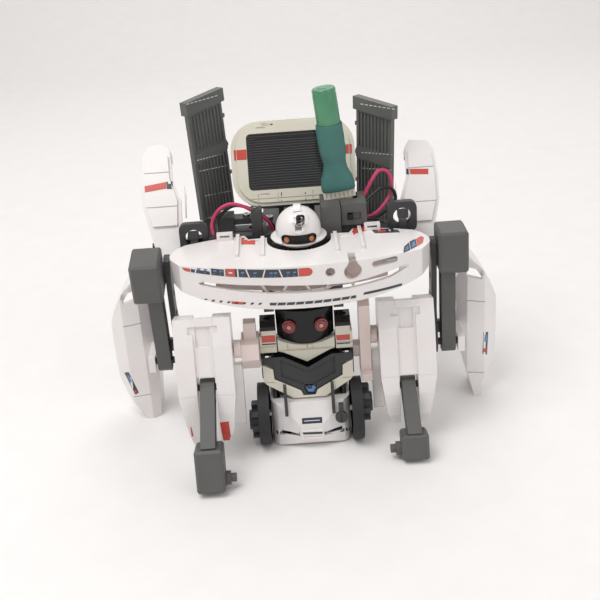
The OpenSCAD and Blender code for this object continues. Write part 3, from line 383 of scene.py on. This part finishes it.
def hull_films():
    low, high = 85.5, 89.1
    mid, half = (low + high) / 2, (high - low) / 2
    band = [("ink_dark", 1, slab(-46.2, -1.5, low, high)),
            ("ink_red", 1, oval(-48, mid, 2, half, 90, 270, 12) + [(-46.5, low), (-46.5, high)]),
            ("ink_red", 1, oval(2.6, mid, 1.9, half, -90, 90, 12) + [(-1.2, high), (-1.2, low)]),
            ("ink_red", 2, slab(-31, -27.3, low + 0.1, high - 0.1)),
            ("ink_white", 3, slab(-29.9, -28.4, mid - 0.3, mid + 0.3))]
    for x, lean in ((-44.6, 1.1), (-37.9, 0), (-31.9, 0), (-26.4, 0), (-21.8, -1.1), (-16.2, 1.1),
                    (-8.2, -1.1)):
        band.append(("ink_white", 2, slab(x, x + 0.55, low + 0.05, high - 0.05, lean)))
    for x in (-43.4, -40.6, -36.6, -34.0, -24.9, -19.8, -13.2, -11.4, -6.2, -3.6):
        band.append(("ink_blue", 2, slab(x, x + 1.3, mid - 0.1, mid + 0.6, 0.3)))
        band.append(("ink_blue", 2, slab(x + 0.1, x + 0.9, low + 0.5, low + 0.8)))
    film("hull_band", ["hull_shell"], band)
    film("hull_end_mark", ["hull_shell"], [
        ("ink_dark", 1, [(47.0, 72.8), (47.5, 76.0), (49.7, 77.9), (50.3, 74.2)]),
        ("ink_blue", 2, [(47.9, 73.9), (48.2, 75.5), (49.3, 76.6), (49.5, 74.5)]),
        ("ink_dark", 1, [(50.5, 74.4), (50.0, 78.2), (52.6, 79.4), (53.4, 75.8)]),
        ("ink_blue", 2, [(51.0, 75.1), (50.8, 77.6), (52.1, 78.5), (52.7, 76.1)]),
        ("ink_red", 1, [(53.6, 75.8), (52.8, 79.3), (55.2, 80.6), (56.5, 79.8), (56.0, 77.2)])], y=-15)
    strip = [("ink_dark", 1, slab(-14, 22, 72.9, 74.1)), ("ink_dark", 1, slab(25, 52, 73.6, 74.7, 0.6)),
             ("ink_red", 1, slab(-30, -25, 73.0, 74.2))]
    for i in range(9):
        strip.append(("ink_white", 2, slab(-11.5 + 3.8 * i, -11.0 + 3.8 * i, 72.95, 74.05, 0.6)))
    for i in range(8):
        strip.append(("ink_dark", 1, slab(-42 + 3.3 * i, -40.9 + 3.3 * i, 73.2, 74.1, 0.7)))
    film("hull_foot_strip", ["hull_shell"], strip)


def deck_films():
    film("deck_mark_left", ["hull_shell", "deck_frame"], [
        ("ink_red", 1, [(-25.3, -24.0), (-25.2, -30.5), (-19.2, -31.7), (-19.2, -25.1)]),
        ("ink_dark", 2, [(-24.2, -25.4), (-24.2, -26.6), (-20.2, -27.2), (-20.2, -26.0)])], down=True)
    film("deck_mark_right", ["hull_shell", "deck_frame"], [
        ("ink_red", 1, [(22.8, -22.6), (24.0, -28.9), (29.8, -25.5), (28.5, -20.6)]),
        ("ink_dark", 1, [(32.1, -24.4), (33.3, -28.6), (44.4, -27.4), (43.4, -22.0)]),
        ("ink_red", 2, [(34.4, -25.0), (35.0, -27.2), (38.4, -26.8), (38.0, -24.4)]),
        ("ink_white", 2, [(39.6, -24.4), (40.0, -26.4), (40.6, -26.3), (40.2, -24.2)])], down=True)


def column_films():
    for side, x, z in (("left", -17.2, 47.7), ("right", 16.2, 45.6)):
        film("column_band_" + side, ["shoulder_columns"], [
            ("ink_red", 1, slab(x - 5, x + 5, z - 1.65, z + 1.65)),
            ("ink_dark", 1, slab(x - 5, x + 5, z - 2.9, z - 2.3))], y=-42)


def nose_films():
    film("nose_badge", ["nose_shell", "chin_plate"], [
        ("ink_navy", 1, slab(-4.2, 4.6, 15.0, 18.0)), ("ink_white", 2, slab(-3.2, 3.6, 16.3, 16.7))], y=-62)
    film("nose_slots", ["nose_shell", "chin_plate"], [
        ("ink_dark", 1, [(-15.7, 13.9), (-15.4, 12.2), (-5.7, 10.4), (-5.5, 11.9)]),
        ("ink_dark", 1, [(16.5, 13.1), (5.2, 11.5), (5.4, 10.0), (16.2, 11.5)]),
        ("ink_dark", 1, [(-4.3, 12.0), (-4.0, 10.9), (4.3, 10.6), (4.6, 11.7)])], y=-64)
    film("panel_light", ["v_panel"], [
        ("black", 1, [(-2.4, 31.2), (-0.9, 27.8), (2.0, 27.6), (3.9, 30.9), (3.0, 32.4), (-1.6, 32.6)]),
        ("ink_blue", 2, [(-1.5, 31.2), (-0.5, 28.9), (1.6, 28.7), (2.9, 30.9), (2.2, 31.7), (-1.0, 31.9)]),
        ], y=-58)


def solar_films():
    film("solar_marks", ["solar_bezel"], [
        ("ink_red", 1, [(-26.8, 115.6), (-21.1, 115.6), (-21.0, 120.4), (-26.7, 120.3)]),
        ("ink_red", 1, [(24.3, 115.1), (28.6, 115.4), (28.7, 119.5), (24.2, 119.5)]),
        ("ink_dark", 1, [(-16.9, 100.9), (-16.9, 100.3), (-11.9, 100.0), (-11.9, 100.6)]),
        ("ink_dark", 1, [(-13.3, 131.8), (-13.3, 131.2), (-8.2, 130.9), (-8.2, 131.5)]),
        ("ink_dark", 1, [(-6.7, 98.8), (-6.9, 94.5), (-6.5, 94.5), (-6.3, 98.8)]),
        ("ink_dark", 1, [(4.3, 98.0), (4.4, 93.7), (4.8, 93.7), (4.7, 98.0)]),
        ("ink_dark", 1, [(17.6, 99.6), (17.6, 99.0), (22.0, 98.9), (22.0, 99.5)])], y=6)


def limb_films():
    film("arm_band_left", ["upper_arm_left"], [
        ("ink_red", 1, [(-71.4, 98.6), (-61.1, 99.8), (-60.7, 103.1), (-71.2, 101.7)]),
        ("ink_dark", 1, [(-60.9, 99.6), (-58.0, 99.4), (-57.7, 103.2), (-60.6, 103.2)])],
         y=20)
    film("arm_band_right", ["upper_arm_right"], [
        ("ink_red", 1, [(55.2, 98.5), (63.7, 97.9), (63.7, 100.6), (55.0, 101.2)]),
        ("ink_dark", 1, [(53.2, 98.6), (54.9, 98.5), (54.8, 101.3), (53.2, 101.3)])], y=20)
    film("shell_mark_left", ["rear_shell_left"], [
        ("ink_dark", 1, [(-85.7, 25.7), (-82.1, 13.5), (-80.4, 14.5), (-83.7, 25.8)]),
        ("ink_blue", 2, [(-84.6, 24.0), (-83.6, 20.4), (-82.9, 20.7), (-83.8, 24.1)]),
        ("ink_red", 2, [(-82.4, 16.0), (-81.9, 14.4), (-81.1, 14.8), (-81.6, 16.3)])], y=-23)
    film("shell_mark_right", ["rear_shell_right"], [
        ("ink_dark", 1, [(82.6, 33.8), (82.2, 22.4), (84.3, 21.8), (84.7, 33.7)]),
        ("ink_blue", 2, [(83.2, 32.4), (83.0, 28.8), (84.0, 28.7), (84.2, 32.3)]),
        ("ink_red", 2, [(82.9, 25.4), (82.8, 23.4), (83.8, 23.1), (83.9, 25.3)])], y=-23)
    film("leg_marks_left", ["front_leg_left"], [
        ("ink_red", 1, [(-39.6, 21.2), (-38.9, 12.0), (-35.5, 12.0), (-35.7, 21.5)]),
        ("ink_dark", 1, [(-38.8, 11.6), (-38.1, 1.8), (-35.4, 1.5), (-35.4, 11.6)]),
        ("ink_red", 1, [(-54.0, 20.1), (-53.4, 15.2), (-51.6, 15.2), (-52.1, 20.0)]),
        ("ink_dark", 1, [(-53.3, 14.9), (-52.9, 9.5), (-51.1, 9.4), (-51.5, 14.9)])], y=-66)


def soft_box(x0, x1, z0, z1, r):
    """A rectangle with corners of radius r."""
    line = []
    for cx, cz, first in ((x1 - r, z1 - r, 0), (x0 + r, z1 - r, 90), (x0 + r, z0 + r, 180),
                          (x1 - r, z0 + r, 270)):
        line += oval(cx, cz, r, r, first, first + 90, 4)
    return line


def head_films():
    film("helmet_lamp", ["helmet"], [("white", 10, soft_box(-1.5, 3.9, 98.3, 104.1, 1.3))], y=-38, step=1.0,
         thick=0.0014)
    film("helmet_lamp_glass", ["helmet"], [("black", 11.5, soft_box(-0.6, 2.7, 98.9, 102.8, 0.9))], y=-38,
         step=1.0, thick=0.0003)


def eye_films():
    mesh = NODES["eye_lenses"].data
    for side, name in ((-1, "left"), (1, "right")):
        xs = [v.co.x for v in mesh.vertices if v.co.x * side > 0]
        zs = [v.co.z for v in mesh.vertices if v.co.x * side > 0]
        x, z = (min(xs) + max(xs)) / 2 / MM, (min(zs) + max(zs)) / 2 / MM
        film("eye_rings_" + name, ["eye_lenses"], [
            ("ink_dark", 1, oval(x, z, 2.5, 2.5)), ("ink_red", 2, oval(x, z, 2.0, 2.0)),
            ("ink_dark", 3, oval(x, z, 1.25, 1.25)), ("ink_pink", 4, oval(x, z, 0.95, 0.95))],
            step=0.8, thick=0.0001)


def dashes(a, b, count, high):
    """A row of short white marks from a to b."""
    (ax, az), (bx, bz) = a, b
    out = []
    for i in range(count):
        t0, t1 = (i + 0.15) / count, (i + 0.8) / count
        x0, z0 = ax + (bx - ax) * t0, az + (bz - az) * t0
        x1, z1 = ax + (bx - ax) * t1, az + (bz - az) * t1
        out.append(("ink_white", 1, [(x0, z0), (x1, z1), (x1, z1 + high), (x0, z0 + high)]))
    return out


def wing_films():
    rows = {"wing_left": (((-46.6, 141.2), (-31.7, 144.4), 8), ((-44.5, 114.8), (-32.2, 117.1), 9),
                          ((-44.0, 109.5), (-30.5, 111.5), 9), ((-42.6, 97.4), (-29.8, 99.0), 9)),
            "wing_right": (((31.9, 136.0), (47.9, 132.3), 8), ((31.5, 113.2), (46.2, 111.0), 9),
                           ((31.6, 105.6), (45.6, 103.6), 9))}
    for node, lines in rows.items():
        film(node + "_dashes", [node], [d for a, b, n in lines for d in dashes(a, b, n, 0.4)], y=12, step=0.9)


# ---------- battery in its shrink sleeve ----------
BATTERY = (Matrix.Translation(at(19.5, -11, 101.2)) @ Matrix.Rotation(math.radians(-5.5), 4, "Y")
           @ Matrix.Scale(MM, 4))


def loft(name, rings, mat, body, replaced, around=40, wrinkle=0.0):
    """Closed tube through rings of (height, half width, half depth, squareness), in millimetres."""
    bm = bmesh.new()
    loops = []
    for n, (t, a, b, square) in enumerate(rings):
        loop = []
        for i in range(around):
            w = 2 * math.pi * i / around
            c, d = math.cos(w), math.sin(w)
            swell = 1 + wrinkle * math.sin(5 * w + 1.7 * n) * math.sin(2 * w + 0.9 * n)
            x = math.copysign(abs(c) ** (2 / square), c) * a * swell
            y = math.copysign(abs(d) ** (2 / square), d) * b * swell
            loop.append(bm.verts.new(BATTERY @ Vector((x, y, t))))
        loops.append(loop)
    for low, high in zip(loops, loops[1:]):
        for i in range(around):
            j = (i + 1) % around
            bm.faces.new((low[i], low[j], high[j], high[i]))
    bm.faces.new(list(reversed(loops[0])))
    bm.faces.new(loops[-1])
    bmesh.ops.recalc_face_normals(bm, faces=bm.faces[:])
    mesh = bpy.data.meshes.new(name)
    bm.to_mesh(mesh)
    bm.free()
    for f in mesh.polygons:
        f.use_smooth = len(f.vertices) == 4
    mesh.materials.append(MATS[mat])
    obj = bpy.data.objects.new(name, mesh)
    scene.collection.objects.link(obj)
    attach(obj, body)
    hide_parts(replaced)
    return obj


def battery():
    sleeve = [(3.3, 7.2, 4.4, 3.6), (3.7, 7.45, 4.7, 3.6), (6.0, 7.5, 4.9, 3.4), (8.4, 7.1, 4.9, 3.0),
              (10.6, 6.2, 4.8, 2.5), (12.8, 5.4, 4.8, 2.2), (15.2, 5.05, 4.8, 2), (17.4, 5.2, 5.0, 2),
              (19.4, 5.65, 5.5, 2), (21.4, 5.9, 5.8, 2), (24.4, 5.85, 5.8, 2), (27.2, 5.95, 5.9, 2),
              (30.4, 5.9, 5.85, 2), (33.0, 5.85, 5.8, 2), (33.4, 5.75, 5.7, 2), (33.5, 5.5, 5.45, 2),
              (33.4, 5.3, 5.3, 2), (31.5, 5.28, 5.28, 2)]
    loft("shrink_sleeve", sleeve, "teal", "battery", "battery_sleeve", wrinkle=0.018)
    cell = [(24.0, 4.9, 4.9, 2), (24.4, 5.2, 5.2, 2), (46.6, 5.22, 5.22, 2), (47.2, 5.05, 5.05, 2),
            (47.8, 5.2, 5.2, 2), (48.8, 5.1, 5.1, 2), (49.2, 4.8, 4.8, 2), (49.4, 4.3, 4.3, 2),
            (49.2, 3.9, 3.9, 2), (49.1, 2.4, 2.4, 2), (49.4, 2.2, 2.2, 2), (49.5, 1.9, 1.9, 2)]
    loft("cell_can", cell, "green", "battery", "battery_cell")


for draw in (hull_films, deck_films, column_films, nose_films, solar_films, limb_films, head_films, eye_films,
             wing_films, battery):
    draw()


# ---------- floor and light ----------
def stage_material():
    m, t, p = nodes_of("pale_cloth")
    co = put(t, "ShaderNodeTexCoord")
    n = put(t, "ShaderNodeTexNoise", Scale=60.0, Detail=5.0)
    ramp = put(t, "ShaderNodeValToRGB")
    ramp.color_ramp.elements[0].color = (0.87, 0.85, 0.84, 1)
    ramp.color_ramp.elements[1].color = (0.92, 0.905, 0.895, 1)
    link(t, co, "Object", n, "Vector")
    link(t, n, "Fac", ramp, "Fac")
    link(t, ramp, "Color", p, "Base Color")
    b = put(t, "ShaderNodeBump")
    b.inputs["Strength"].default_value, b.inputs["Distance"].default_value = 0.2, 0.0006
    link(t, n, "Fac", b, "Height")
    link(t, b, "Normal", p, "Normal")
    p.inputs["Roughness"].default_value = 0.9
    return m


def make_stage():
    bm = bmesh.new()
    depth, back, bend, wall = -1.6, 0.75, 0.35, 1.6
    profile = [(depth, 0)] + [(back + bend * math.sin(a), bend * (1 - math.cos(a)))
                              for a in (math.pi / 2 * i / 12 for i in range(13))] + [(back + bend, wall)]
    rows = [[bm.verts.new((x, y, z)) for y, z in profile] for x in (-2.4, 2.4)]
    for i in range(len(profile) - 1):
        bm.faces.new((rows[0][i], rows[1][i], rows[1][i + 1], rows[0][i + 1]))
    mesh = bpy.data.meshes.new("floor")
    bm.to_mesh(mesh)
    bm.free()
    for f in mesh.polygons:
        f.use_smooth = True
    floor = bpy.data.objects.new("floor", mesh)
    mesh.materials.append(stage_material())
    scene.collection.objects.link(floor)


def light(name, place, aim, size, power, colour):
    """A soft round lamp that points at aim."""
    data = bpy.data.lights.new(name, "AREA")
    data.shape = "DISK"
    data.size = size
    data.energy = power
    data.color = colour
    lamp = bpy.data.objects.new(name, data)
    lamp.location = place
    lamp.rotation_euler = (Vector(aim) - Vector(place)).to_track_quat("-Z", "Y").to_euler()
    scene.collection.objects.link(lamp)


make_stage()
light("key", (-0.35, -0.25, 0.95), (0, 0.02, 0.06), 0.7, 5.6, (1.0, 0.985, 0.97))
light("fill", (0.75, -0.55, 0.55), (0, 0.02, 0.06), 0.9, 1.7, (0.97, 0.98, 1.0))
light("back", (0.1, 0.65, 0.8), (0, 0.0, 0.08), 0.7, 2.0, (1.0, 0.99, 0.98))
world = bpy.data.worlds.new("studio")
world.use_nodes = True
world.node_tree.nodes["Background"].inputs["Color"].default_value = (1.0, 0.988, 0.985, 1)
world.node_tree.nodes["Background"].inputs["Strength"].default_value = 0.50
scene.world = world
scene.view_settings.view_transform = "Standard"
scene.view_settings.look = "None"
